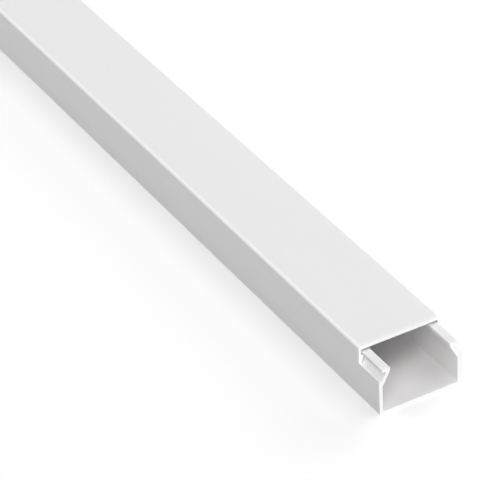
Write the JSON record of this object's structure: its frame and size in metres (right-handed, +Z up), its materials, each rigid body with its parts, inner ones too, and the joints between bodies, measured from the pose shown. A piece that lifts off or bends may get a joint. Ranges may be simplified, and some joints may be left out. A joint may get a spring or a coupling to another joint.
{
  "type": "wiring duct",
  "caption": "White plastic wiring duct: a channel base with leaning shoulders and hooked lips, and a clip-on cover that slides along it and closes the cable way.",
  "frame": {"origin": "centre of the base's underside, on the surface that the duct lies on or is fixed to", "axes": "+X along the duct to the near end, where the cover is drawn back; +Y across the duct; +Z up out of the mouth, through the cover"},
  "size_m": [1.0155, 0.04, 0.025],
  "materials": {
    "base_plastic": "satin white extruded rigid PVC",
    "cover_plastic": "satin white extruded rigid PVC"
  },
  "bodies": {
    "base": {"duct_base": "base_plastic"},
    "cover": {"duct_cover": "cover_plastic"}
  },
  "joints": [
    {"name": "cover_slide", "type": "slide", "parent": "base", "child": "cover", "axis": [1, 0, 0], "range_m": [-0.9845, 1.0155]}
  ]
}
